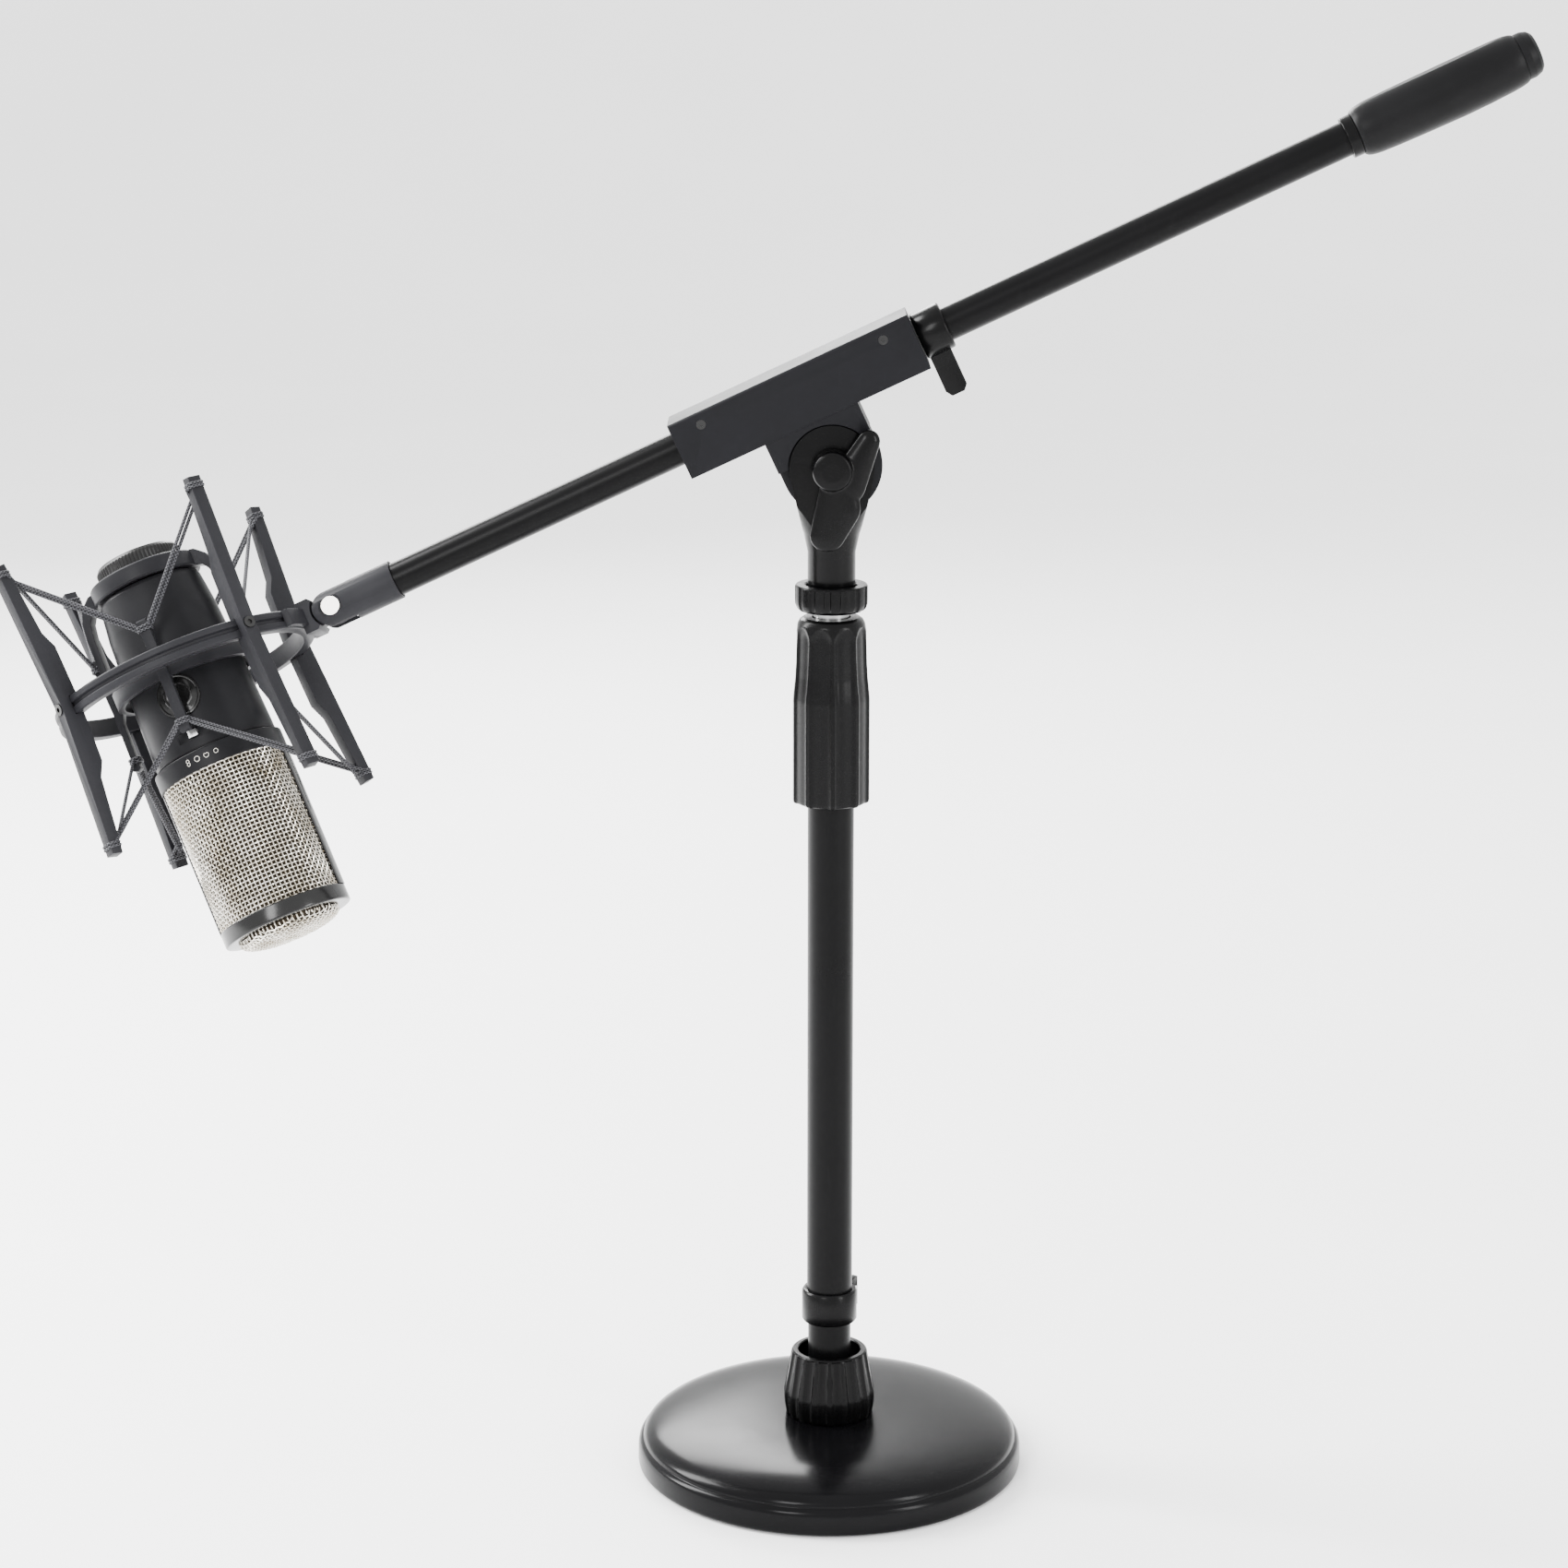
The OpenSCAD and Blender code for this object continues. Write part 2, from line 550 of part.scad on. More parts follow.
module pattern_switch() color("#8d8f93") at_mount() translate([-2.2, -30.4, -33.6]) cube([4.4, 2.3, 3.2]);

base_pad();
base_disc();
base_bolt();
mast_foot();
outer_tube();
foot_collar();
collar_screw();
clutch_core();
clutch_collet();
base_nut();
clutch_sleeve();
inner_tube();
inner_bush();
mast_stud();
lock_ring();
head_fork();
head_insert();
pivot_bolt();
friction_washers();
wing_knob();
knob_nut();
clamp_block();
block_liners();
block_screws();
boom_collet();
clamp_lever();
boom_tube();
boom_stud();
boom_grip();
grip_collar();
grip_cap();
adapter_sleeve();
hinge_pin();
yoke();
outer_ring();
front_left_bar();
front_right_bar();
rear_left_bar();
rear_right_bar();
bar_screws();
cradle();
upper_elastic();
lower_elastic();
clamp_nut();
mic_body();
mic_collar();
side_rails();
grille_mesh();
grille_band();
grille_dome();
capsule();
capsule_post();
circuit_board();
xlr_insert();
xlr_pins();
badge();
pattern_switch();
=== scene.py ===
"""Looks of a low boom microphone stand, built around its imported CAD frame.

Lengths are metres in the row frame. Outlines are (radius, height) pairs in millimetres.
"""
import json
import math

import bmesh
import bpy
from mathutils import Matrix, Vector


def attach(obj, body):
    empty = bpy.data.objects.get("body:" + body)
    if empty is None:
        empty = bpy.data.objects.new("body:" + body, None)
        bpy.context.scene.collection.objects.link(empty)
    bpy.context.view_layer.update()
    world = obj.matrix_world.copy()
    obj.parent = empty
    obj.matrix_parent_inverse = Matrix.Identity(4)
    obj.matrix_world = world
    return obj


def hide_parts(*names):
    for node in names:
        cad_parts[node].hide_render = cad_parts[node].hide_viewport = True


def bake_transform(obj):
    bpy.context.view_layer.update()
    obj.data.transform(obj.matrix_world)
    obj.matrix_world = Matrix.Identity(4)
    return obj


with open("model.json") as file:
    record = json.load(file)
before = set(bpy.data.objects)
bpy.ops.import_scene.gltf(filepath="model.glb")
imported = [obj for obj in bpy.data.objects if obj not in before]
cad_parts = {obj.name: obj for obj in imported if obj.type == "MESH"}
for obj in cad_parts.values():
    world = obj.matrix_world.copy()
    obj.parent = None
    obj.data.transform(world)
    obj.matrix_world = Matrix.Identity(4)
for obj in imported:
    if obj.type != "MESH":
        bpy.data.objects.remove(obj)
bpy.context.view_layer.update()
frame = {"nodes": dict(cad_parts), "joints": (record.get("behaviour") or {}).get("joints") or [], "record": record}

MM = 0.001
NODES = frame["nodes"]
RECORD = frame["record"]
JOINTS = {j["name"]: j for j in frame["joints"]}
BODY_OF = {n: b for b, names in RECORD["behaviour"]["bodies"].items() for n in names}
SLOT_OF = {s["node"]: s["material_slot"] for s in RECORD["subparts"]}


# ---- places -----------------------------------------------------------------
def basis(x, y, z, origin):
    """The matrix of a frame with these three directions and this origin."""
    rows = Matrix((x, y, z)).transposed().to_4x4()
    return Matrix.Translation(origin) @ rows


BOOM_X = Vector(JOINTS["adapter_roll"]["axis"]).normalized()
PIVOT = Vector(JOINTS["boom_tilt"]["pos_m"])
HINGE = Vector(JOINTS["mount_hinge"]["pos_m"])
HINGE_TO_RING = 78.5
boom_point = Vector(JOINTS["adapter_roll"]["pos_m"])
boom_origin = boom_point + BOOM_X * (PIVOT - boom_point).dot(BOOM_X)
UP = Matrix.Identity(4)
BACK = Vector((0, 1, 0))
BOOM = basis(BOOM_X, BACK, BOOM_X.cross(BACK), boom_origin)
MOUNT_Y = Vector(JOINTS["mount_hinge"]["axis"]).normalized()
MOUNT_Z = -Vector(JOINTS["cradle_slide"]["axis"]).normalized()
MOUNT = basis(BOOM_X, MOUNT_Y, MOUNT_Z, HINGE - BOOM_X * HINGE_TO_RING * MM)
AT_PIVOT = Matrix.Translation(PIVOT)
ALONG_BOOM = BOOM @ Matrix.Rotation(math.radians(90), 4, "Y")


def span(node, place):
    """Lowest and highest corner of a CAD node in a frame, in millimetres."""
    inverse = place.inverted()
    points = [inverse @ v.co for v in NODES[node].data.vertices]
    low = Vector([min(p[i] for p in points) for i in range(3)]) / MM
    high = Vector([max(p[i] for p in points) for i in range(3)]) / MM
    return low, high


# ---- meshes -----------------------------------------------------------------
def smooth(mesh, angle=38):
    """Smooth shading with creases where faces meet at more than angle."""
    mesh.polygons.foreach_set("use_smooth", [True] * len(mesh.polygons))
    mesh.set_sharp_from_angle(angle=math.radians(angle))


def piece(name, verts, faces, place=UP, angle=38):
    """A mesh object from points in millimetres, put in place."""
    mesh = bpy.data.meshes.new(name)
    mesh.from_pydata([place @ (Vector(v) * MM) for v in verts], [], faces)
    mesh.validate()
    bm = bmesh.new()
    bm.from_mesh(mesh)
    bmesh.ops.recalc_face_normals(bm, faces=bm.faces)
    bm.to_mesh(mesh)
    bm.free()
    smooth(mesh, angle)
    obj = bpy.data.objects.new(name, mesh)
    bpy.context.scene.collection.objects.link(obj)
    return obj


def lathe(name, outline, place=UP, steps=128, shape=None, angle=30):
    """Turns a closed outline about the frame's Z; shape(r, z, turn) may change a radius."""
    verts, faces = [], []
    count = len(outline)
    for i in range(steps):
        turn = 2 * math.pi * i / steps
        for r, z in outline:
            at = shape(r, z, turn) if shape else r
            verts.append((at * math.cos(turn), at * math.sin(turn), z))
    for i in range(steps):
        j = (i + 1) % steps
        for k in range(count):
            n = (k + 1) % count
            if outline[k][0] < 1e-6 and outline[n][0] < 1e-6:
                continue
            faces.append((i * count + k, j * count + k, j * count + n, i * count + n))
    obj = piece(name, verts, faces, place, angle)
    weld(obj)
    return obj


def weld(obj, distance=1e-6):
    """Joins points that lie together and drops the empty faces this makes."""
    bm = bmesh.new()
    bm.from_mesh(obj.data)
    bmesh.ops.remove_doubles(bm, verts=bm.verts, dist=distance)
    bmesh.ops.dissolve_degenerate(bm, edges=bm.edges, dist=distance)
    bmesh.ops.recalc_face_normals(bm, faces=bm.faces)
    bm.to_mesh(obj.data)
    bm.free()


def fine(outline, step):
    """The outline with points added so that none are more than step apart."""
    points = []
    for k, (r, z) in enumerate(outline):
        r2, z2 = outline[(k + 1) % len(outline)]
        parts = max(1, math.ceil(math.hypot(r2 - r, z2 - z) / step))
        points += [(r + (r2 - r) * i / parts, z + (z2 - z) * i / parts) for i in range(parts)]
    return points


def rounded(outline, radii, steps=5):
    """The outline with each named corner rounded: radii maps a corner's index to its radius."""
    points = []
    for k, corner in enumerate(outline):
        if k not in radii:
            points.append(corner)
            continue
        here = Vector(corner)
        to_last = Vector(outline[k - 1]) - here
        to_next = Vector(outline[(k + 1) % len(outline)]) - here
        half = to_last.angle(to_next) / 2
        cut = min(radii[k] / math.tan(half), 0.49 * to_last.length, 0.49 * to_next.length)
        a, b = here + to_last.normalized() * cut, here + to_next.normalized() * cut
        for i in range(steps + 1):
            t = i / steps
            points.append(tuple(a * (1 - t) ** 2 + here * 2 * t * (1 - t) + b * t ** 2))
    return points


def apply_modifiers(obj):
    """Bakes the object's modifiers into its mesh."""
    bpy.context.view_layer.update()
    view = obj.evaluated_get(bpy.context.evaluated_depsgraph_get())
    mesh = bpy.data.meshes.new_from_object(view)
    obj.modifiers.clear()
    obj.data = mesh
    return obj


def softened(node, width, angle=35, segments=3):
    """A copy of a CAD node with its hard edges rounded as a moulding's or casting's are."""
    mesh = NODES[node].data.copy()
    mesh.materials.clear()
    obj = bpy.data.objects.new(node + "_shell", mesh)
    bpy.context.scene.collection.objects.link(obj)
    bm = bmesh.new()
    bm.from_mesh(mesh)
    bmesh.ops.remove_doubles(bm, verts=bm.verts, dist=2e-6)
    bmesh.ops.dissolve_limit(bm, angle_limit=math.radians(0.6), verts=bm.verts, edges=bm.edges)
    bm.to_mesh(mesh)
    bm.free()
    bevel = obj.modifiers.new("round", "BEVEL")
    bevel.width = width * MM
    bevel.segments = segments
    bevel.limit_method = "ANGLE"
    bevel.angle_limit = math.radians(angle)
    bevel.use_clamp_overlap = True
    apply_modifiers(obj)
    smooth(obj.data, 44)
    return obj


def tube(points, radius, sides=8):
    """Verts, faces and (along, around) values of a round tube through points, in millimetres."""
    verts, faces, marks = [], [], []
    points = [Vector(p) for p in points]
    normal = None
    length = 0.0
    for i, p in enumerate(points):
        ahead = points[min(i + 1, len(points) - 1)] - points[max(i - 1, 0)]
        ahead.normalize()
        if normal is None:
            normal = ahead.orthogonal().normalized()
        normal = (normal - ahead * normal.dot(ahead)).normalized()
        side = ahead.cross(normal)
        if i:
            length += (p - points[i - 1]).length
        for k in range(sides):
            turn = 2 * math.pi * k / sides
            verts.append(p + normal * math.cos(turn) * radius + side * math.sin(turn) * radius)
            marks.append((length, k / sides))
    for i in range(len(points) - 1):
        for k in range(sides):
            n = (k + 1) % sides
            faces.append((i * sides + k, i * sides + n, (i + 1) * sides + n, (i + 1) * sides + k))
    last = (len(points) - 1) * sides
    faces.append(tuple(reversed(range(sides))))
    faces.append(tuple(range(last, last + sides)))
    return verts, faces, marks


def tubes(name, paths, radius, place=UP, sides=8, closed=False):
    """One object of many round tubes, with their length and turn kept as a UV map."""
    verts, faces, marks = [], [], []
    for path in paths:
        v, f, m = tube(path + path[:2] if closed else path, radius, sides)
        faces += [tuple(i + len(verts) for i in face) for face in f]
        verts += v
        marks += m
    mesh = bpy.data.meshes.new(name)
    mesh.from_pydata([place @ (Vector(v) * MM) for v in verts], [], faces)
    uv = mesh.uv_layers.new(name="run")
    for polygon in mesh.polygons:
        around = [marks[mesh.loops[i].vertex_index][1] for i in polygon.loop_indices]
        wraps = max(around) - min(around) > 0.5
        for i in polygon.loop_indices:
            along, turn = marks[mesh.loops[i].vertex_index]
            uv.data[i].uv = (along, turn + 1 if wraps and turn < 0.5 else turn)
    smooth(mesh, 60)
    obj = bpy.data.objects.new(name, mesh)
    bpy.context.scene.collection.objects.link(obj)
    return obj


# ---- materials --------------------------------------------------------------
class Nodes:
    """A small helper that builds one material's node tree."""

    def __init__(self, name):
        self.material = bpy.data.materials.new(name)
        self.material.use_nodes = True
        self.tree = self.material.node_tree
        self.shader = self.tree.nodes["Principled BSDF"]
        self.coords = self.tree.nodes.new("ShaderNodeTexCoord")

    def add(self, kind, links=None, **values):
        node = self.tree.nodes.new("ShaderNode" + kind)
        for key, value in values.items():
            setattr(node, key, value)
        for socket, source in (links or {}).items():
            if isinstance(source, bpy.types.NodeSocket):
                self.tree.links.new(source, node.inputs[socket])
            else:
                node.inputs[socket].default_value = source
        return node

    def noise(self, scale, detail=3.0, stretch=(1, 1, 1)):
        """Noise over the object's own space, in cycles a metre, stretched along its axes."""
        mapping = self.add("Mapping", {"Vector": self.coords.outputs["Object"]}, vector_type="TEXTURE")
        mapping.inputs["Scale"].default_value = stretch
        return self.add("TexNoise", {"Vector": mapping.outputs["Vector"], "Scale": scale, "Detail": detail})

    def ramp(self, value, low, high, start=0.35, end=0.65):
        """low up to start and high from end, as a number or a colour."""
        if isinstance(low, (int, float)):
            node = self.add("MapRange", {0: value, 1: start, 2: end, 3: low, 4: high})
            return node.outputs["Result"]
        node = self.add("ValToRGB", {"Fac": value})
        node.color_ramp.elements[0].position = start
        node.color_ramp.elements[1].position = end
        node.color_ramp.elements[0].color = (*low, 1)
        node.color_ramp.elements[1].color = (*high, 1)
        return node.outputs["Color"]

    def math(self, operation, a, b=0.0):
        return self.add("Math", {0: a, 1: b}, operation=operation).outputs[0]

    def bump(self, height, strength, distance, below=None):
        links = {"Height": height, "Strength": strength, "Distance": distance}
        if below is not None:
            links["Normal"] = below
        return self.add("Bump", links).outputs["Normal"]

    def set(self, **sockets):
        for key, value in sockets.items():
            socket = self.shader.inputs[key.replace("_", " ")]
            if isinstance(value, bpy.types.NodeSocket):
                self.tree.links.new(value, socket)
            else:
                socket.default_value = value
        return self.material


def coated(name, dark, light, rough, grain=900, bump=0.12, metal=0.0, wear=0.0,
           stretch=(1, 1, 1), depth=0.00012, shine=0.5):
    """Paint, moulding or metal: mottled colour, uneven gloss, fine surface grain and worn spots."""
    n = Nodes(name)
    broad = n.noise(26, 4.0).outputs["Fac"]
    small = n.noise(grain, 3.0, stretch).outputs["Fac"]
    colour = n.ramp(broad, dark, light, 0.3, 0.7)
    if wear:
        scuffs = n.noise(340, 6.0, (1, 1, 6)).outputs["Fac"]
        marks = n.ramp(scuffs, 0.0, wear, 0.63, 0.72)
        mixer = n.add("Mix", data_type="RGBA")
        n.tree.links.new(marks, mixer.inputs["Factor"])
        n.tree.links.new(colour, mixer.inputs[6])
        mixer.inputs[7].default_value = (*(c * 3 + 0.03 for c in light), 1)
        colour = mixer.outputs[2]
    gloss = n.ramp(broad, rough - 0.035, rough + 0.035, 0.3, 0.7)
    fine_gloss = n.math("ADD", gloss, n.ramp(small, -0.03, 0.03, 0.3, 0.7))
    normal = n.bump(small, bump, depth)
    return n.set(Base_Color=colour, Roughness=fine_gloss, Normal=normal, Metallic=metal,
                 Specular_IOR_Level=shine)


def braided(name):
    """Elastic cord: two sets of strands crossing along the cord, with pale flecks."""
    n = Nodes(name)
    uv = n.add("SeparateXYZ", {"Vector": n.coords.outputs["UV"]})
    along = n.math("MULTIPLY", uv.outputs["X"], 2 * math.pi / 1.7)
    around = n.math("MULTIPLY", uv.outputs["Y"], 2 * math.pi * 3)
    one = n.math("SINE", n.math("ADD", along, around))
    two = n.math("SINE", n.math("SUBTRACT", along, around))
    weave = n.math("MAXIMUM", one, two)
    fibre = n.noise(5200, 2.0).outputs["Fac"]
    shade = n.math("ADD", n.math("MULTIPLY", weave, 0.4), n.math("MULTIPLY", fibre, 0.6))
    colour = n.ramp(shade, (0.004, 0.004, 0.005), (0.09, 0.09, 0.1), 0.36, 0.85)
    normal = n.bump(weave, 0.8, 0.00022)
    return n.set(Base_Color=colour, Roughness=n.ramp(fibre, 0.5, 0.7), Normal=normal,
                 Specular_IOR_Level=0.2)


def wire_mesh(name, dark, light):
    """Drawn nickel wire, with warmer and cooler patches."""
    n = Nodes(name)
    broad = n.noise(90, 4.0).outputs["Fac"]
    small = n.noise(2600, 2.0).outputs["Fac"]
    colour = n.ramp(n.math("ADD", n.math("MULTIPLY", broad, 0.5), n.math("MULTIPLY", small, 0.5)),
                    dark, light, 0.36, 0.62)
    return n.set(Base_Color=colour, Metallic=1.0, Roughness=n.ramp(small, 0.16, 0.3),
                 Normal=n.bump(small, 0.2, 0.00005))


def gold_capsule(name):
    """Gold-coated film, faintly mottled."""
    n = Nodes(name)
    small = n.noise(1200, 2.0).outputs["Fac"]
    return n.set(Base_Color=n.ramp(small, (0.55, 0.38, 0.12), (0.8, 0.6, 0.28)), Metallic=1.0,
                 Roughness=n.ramp(small, 0.2, 0.36), Normal=n.bump(small, 0.1, 0.00005))


def grey(value, tint=0.0):
    return (value, value, value * (1 + tint))


FINISHES = {
    "rubber_pad": lambda s: coated(s, grey(0.02), grey(0.032), 0.75, 700, 0.3, shine=0.2),
    "gloss_cast": lambda s: coated(s, grey(0.0012, 0.2), grey(0.002, 0.2), 0.2, 1500, 0.04,
                                   shine=0.08),
    "zinc_steel": lambda s: coated(s, grey(0.42), grey(0.58), 0.34, 1800, 0.1, metal=1.0),
    "satin_black_steel": lambda s: coated(s, grey(0.0014, 0.1), grey(0.0022, 0.1), 0.32, 1800, 0.05,
                                          wear=0.02, shine=0.07),
    "black_plastic": lambda s: coated(s, grey(0.0009, 0.1), grey(0.0016, 0.1), 0.24, 2200, 0.07, wear=0.02,
                                      shine=0.09),
    "inner_plastic": lambda s: coated(s, grey(0.05), grey(0.08), 0.5, 1500, 0.15),
    "pale_plastic": lambda s: coated(s, (0.55, 0.53, 0.47), (0.66, 0.64, 0.58), 0.45, 1500, 0.1),
    "ribbed_plastic": lambda s: coated(s, grey(0.001, 0.1), grey(0.0018, 0.1), 0.27, 2600, 0.1, wear=0.02,
                                       shine=0.09),
    "bare_steel": lambda s: coated(s, grey(0.38), grey(0.5), 0.25, 1600, 0.1, metal=1.0,
                                   stretch=(1, 1, 12)),
    "brass": lambda s: coated(s, (0.5, 0.36, 0.14), (0.6, 0.45, 0.2), 0.3, 1500, 0.1, metal=1.0),
    "block_paint": lambda s: coated(s, grey(0.0028, 0.35), grey(0.0042, 0.35), 0.5, 2400, 0.14, wear=0.015,
                                    shine=0.1),
    "grip_rubber": lambda s: coated(s, grey(0.0024, 0.1), grey(0.0042, 0.1), 0.42, 3200, 0.2, depth=0.00016,
                                    shine=0.08),
    "charcoal_plastic": lambda s: coated(s, grey(0.0115, 0.15), grey(0.016, 0.15), 0.44, 2600, 0.16,
                                         wear=0.02, shine=0.09),
    "cradle_plastic": lambda s: coated(s, grey(0.009, 0.15), grey(0.0125, 0.15), 0.42, 2600, 0.14,
                                       shine=0.09),
    "nickel_steel": lambda s: coated(s, (0.42, 0.4, 0.37), (0.55, 0.53, 0.5), 0.24, 2200, 0.12, metal=1.0),
    "black_screw": lambda s: coated(s, grey(0.004), grey(0.008), 0.35, 1800, 0.1, shine=0.3),
    "elastic_cord": braided,
    "nut_metal": lambda s: coated(s, grey(0.003), grey(0.005), 0.34, 2200, 0.1, wear=0.02, shine=0.2),
    "mic_paint": lambda s: coated(s, grey(0.0055, 0.15), grey(0.0075, 0.15), 0.4, 3400, 0.12, shine=0.09),
    "rail_paint": lambda s: coated(s, grey(0.001), grey(0.002), 0.2, 1500, 0.05, shine=0.3),
    "wire_mesh": lambda s: wire_mesh(s, (0.3, 0.26, 0.19), (0.74, 0.71, 0.65)),
    "capsule_gold": gold_capsule,
    "circuit_green": lambda s: coated(s, (0.015, 0.09, 0.03), (0.03, 0.14, 0.05), 0.3, 900, 0.3),
    "xlr_metal": lambda s: coated(s, grey(0.22), grey(0.3), 0.36, 1800, 0.1, metal=0.9),
    "badge_paint": lambda s: coated(s, grey(0.003), grey(0.005), 0.22, 2000, 0.08, shine=0.3),
    "switch_metal": lambda s: coated(s, grey(0.5), grey(0.62), 0.3, 2000, 0.1, metal=1.0),
}
MATERIALS = {slot: make(slot) for slot, make in FINISHES.items()}


def dress(obj, slot):
    obj.data.materials.clear()
    obj.data.materials.append(MATERIALS[slot])
    return obj


def stands_for(obj, node):
    """obj takes this node's place, body and finish."""
    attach(obj, BODY_OF[node])
    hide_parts(node)
    return dress(obj, SLOT_OF[node])


def belongs_to(obj, body, slot):
    """obj is an extra piece that moves with a body."""
    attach(obj, body)
    return dress(obj, slot)


for node_name, node_object in NODES.items():
    node_object.data.materials.clear()
    node_object.data.materials.append(MATERIALS[SLOT_OF[node_name]])


# ---- base and mast ----------------------------------------------------------
def flutes(count, half_width, depth, sharp=4.0, first=0.0, fade=None):
    """A lathe shape that cuts count hollows, depth deep and 2 * half_width wide, at outer points."""
    def shape(r, z, turn):
        share = ((turn - first) * count / (2 * math.pi) + 0.5) % 1 - 0.5
        across = abs(share) * 2 * math.pi * r / count
        here = fade(z) if fade else (0.0, 1.0)
        reach = math.hypot(across, here[0]) / half_width
        return r - depth * here[1] * max(0.0, 1 - reach ** sharp)
    return shape


def make_base():
    low, high = span("base_disc", UP)
    edge, rim, top = high.x, 13.9, high.z
    crown = edge - 2.7
    dome = [(crown * math.cos(math.radians(a)) ** 0.4,
             rim + 0.5 + (top - rim - 0.5) * math.sin(math.radians(a))) for a in range(0, 84, 3)]
    outline = [(30, low.z + 2), (edge - 8, low.z + 2), (edge - 8, low.z), (edge - 1, low.z),
               (edge - 0.2, low.z + 0.8), (edge, low.z + 2), (edge - 0.1, rim - 4)]
    outline += [(edge - 0.45, rim - 2), (edge - 1.1, rim - 0.9), (edge - 1.9, rim - 0.25),
                (edge - 2.3, rim), (edge - 2.55, rim + 0.1)]
    outline += dome + [(20, top), (6.4, top), (6.4, 11), (12, 11), (12, low.z + 2)]
    stands_for(lathe("cast_base", outline, steps=240, angle=50), "base_disc")


def make_base_nut():
    low, high = span("base_nut", UP)
    outline = [(13.35, low.z), (20.6, low.z), (21.5, low.z + 2), (22.1, 31.5), (22.25, 34), (22.2, 37),
               (18.6, 57), (18.3, 57.8), (17.6, high.z), (15.7, high.z), (15.2, 57.9), (15.2, 39),
               (13.35, 37)]

    def shape(r, z, turn):
        if r < 17 or z > 57.4:
            return r
        return cut(r, z, turn) if z > 27.5 else cut(r, z, turn) + 0.35
    cut = flutes(18, 2.5, 1.15, 3.0)
    stands_for(lathe("base_ring_nut", fine(outline, 1.5), steps=360, shape=shape), "base_nut")


def make_mast():
    foot_low, foot_high = span("mast_foot", UP)
    outer_low, outer_high = span("outer_tube", UP)
    radius = outer_high.x
    foot = [(6, foot_low.z), (13, foot_low.z), (13, 33.4), (12.4, 34), (10.4, 34), (10.4, 75.4),
            (radius, 76), (radius, outer_low.z), (9.2, outer_low.z), (9.2, 111), (8, foot_high.z),
            (0, foot_high.z), (0, 50), (6, 50)]
    stands_for(lathe("turned_foot", foot, steps=96), "mast_foot")
    wall = [(radius, outer_low.z), (radius, outer_high.z), (radius - 1.6, outer_high.z),
            (radius - 1.6, outer_low.z)]
    stands_for(lathe("outer_mast_tube", fine(wall, 40), steps=96), "outer_tube")
    inner_low, inner_high = span("inner_tube", UP)
    radius = inner_high.x
    wall = [(radius, inner_low.z), (radius, inner_high.z), (radius - 1.5, inner_high.z),
            (radius - 1.5, inner_low.z)]
    stands_for(lathe("inner_mast_tube", fine(wall, 40), steps=96), "inner_tube")


def make_clutch():
    low, high = span("clutch_sleeve", UP)
    edge, foot, top = max(high.x, high.y), low.z, high.z
    outline = [(13.85, foot), (edge - 0.9, foot), (edge - 0.2, foot + 0.6), (edge, foot + 1.6),
               (edge, foot + 50), (edge - 0.3, foot + 54), (edge - 1.0, foot + 61),
               (edge - 1.35, foot + 68), (edge - 1.8, foot + 83), (edge - 2.4, foot + 86.4),
               (edge - 3.4, foot + 88.2), (edge - 5.0, top), (9.2, top), (9.2, 421.4), (10.95, 421.4),
               (12.95, 408), (12.95, 403), (13.85, 403)]
    arch = top - 10.5
    cut = flutes(9, 5.35, 1.35, 5.0, math.radians(12), fade=lambda z: (max(0.0, z - arch) * 0.8, 1.0))

    def shape(r, z, turn):
        if r < edge - 4.2 or (z > top - 2):
            return r
        return cut(r, z, turn)
    stands_for(lathe("fluted_clutch", fine(outline, 0.9), steps=360, shape=shape, angle=34),
               "clutch_sleeve")


def make_lock_ring():
    low, high = span("lock_ring", UP)
    edge = 17.1
    outline = [(8.25, low.z), (13.2, low.z), (15.2, low.z + 0.6), (16.4, low.z + 1.8),
               (17, low.z + 3.6), (edge, low.z + 5.4), (edge, high.z - 0.8), (16.5, high.z),
               (12.8, high.z), (12.2, high.z - 0.6), (12.2, 434), (8.25, 434)]
    cut = flutes(14, 1.7, 0.85, 4.0, 0.1)

    def shape(r, z, turn):
        return cut(r, z, turn) if r > 14.4 and z < high.z - 0.4 else r
    stands_for(lathe("ribbed_lock_ring", fine(outline, 0.9), steps=336, shape=shape), "lock_ring")


# ---- head, block and boom ---------------------------------------------------
def blob(points_sets):
    """Closed hulls of point sets, joined into one mesh's verts and faces."""
    verts, faces = [], []
    for points in points_sets:
        bm = bmesh.new()
        for p in points:
            bm.verts.new(p)
        hull = bmesh.ops.convex_hull(bm, input=bm.verts)
        loose = [v for v in hull["geom_interior"] if isinstance(v, bmesh.types.BMVert)]
        bmesh.ops.delete(bm, geom=loose, context="VERTS")
        bm.verts.index_update()
        start = len(verts)
        verts += [tuple(v.co) for v in bm.verts]
        faces += [tuple(v.index + start for v in f.verts) for f in bm.faces]
        bm.free()
    return verts, faces


def ellipsoid(x, y, z, rx, ry, rz, steps=20):
    """Points of an ellipsoid about (x, y, z)."""
    return [(x + rx * math.sin(a) * math.cos(t), y + ry * math.cos(a), z + rz * math.sin(a) * math.sin(t))
            for a in (math.pi * i / 12 for i in range(13))
            for t in (2 * math.pi * k / steps for k in range(steps))]


